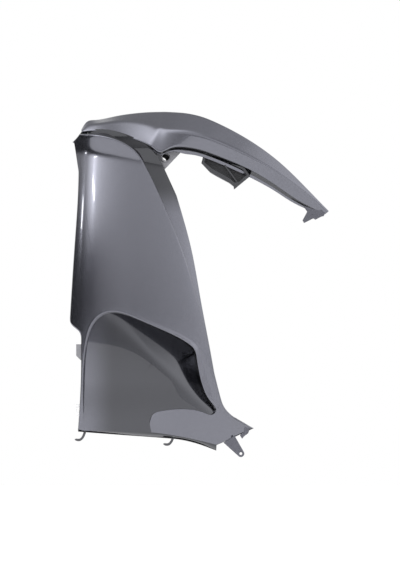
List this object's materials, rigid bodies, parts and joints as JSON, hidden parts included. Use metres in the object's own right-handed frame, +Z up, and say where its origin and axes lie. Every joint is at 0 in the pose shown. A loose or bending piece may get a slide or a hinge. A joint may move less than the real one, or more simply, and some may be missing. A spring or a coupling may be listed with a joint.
{
  "type": "scooter fairing panel",
  "caption": "Painted side fairing of a scooter with an arched arm over the lamp opening, a lipped scoop, screw lugs, hooks and a black bracket behind the arm.",
  "frame": {"origin": "centre of the upper screw hole, on the front of the plate that carries it", "axes": "+Z up along the panel, +X to the right towards the tip of the arm, +Y away from the painted face, to the hidden side"},
  "size_m": [0.4682, 0.1221, 0.6244],
  "materials": {
    "paint": "metallic grey lacquer on moulded plastic",
    "black_plastic": "unpainted black moulding with a slight shine",
    "screw_steel": "zinc plated"
  },
  "bodies": {
    "root": {"side_panel": "paint", "lamp_bracket": "black_plastic", "bracket_screws": "screw_steel"}
  },
  "joints": []
}
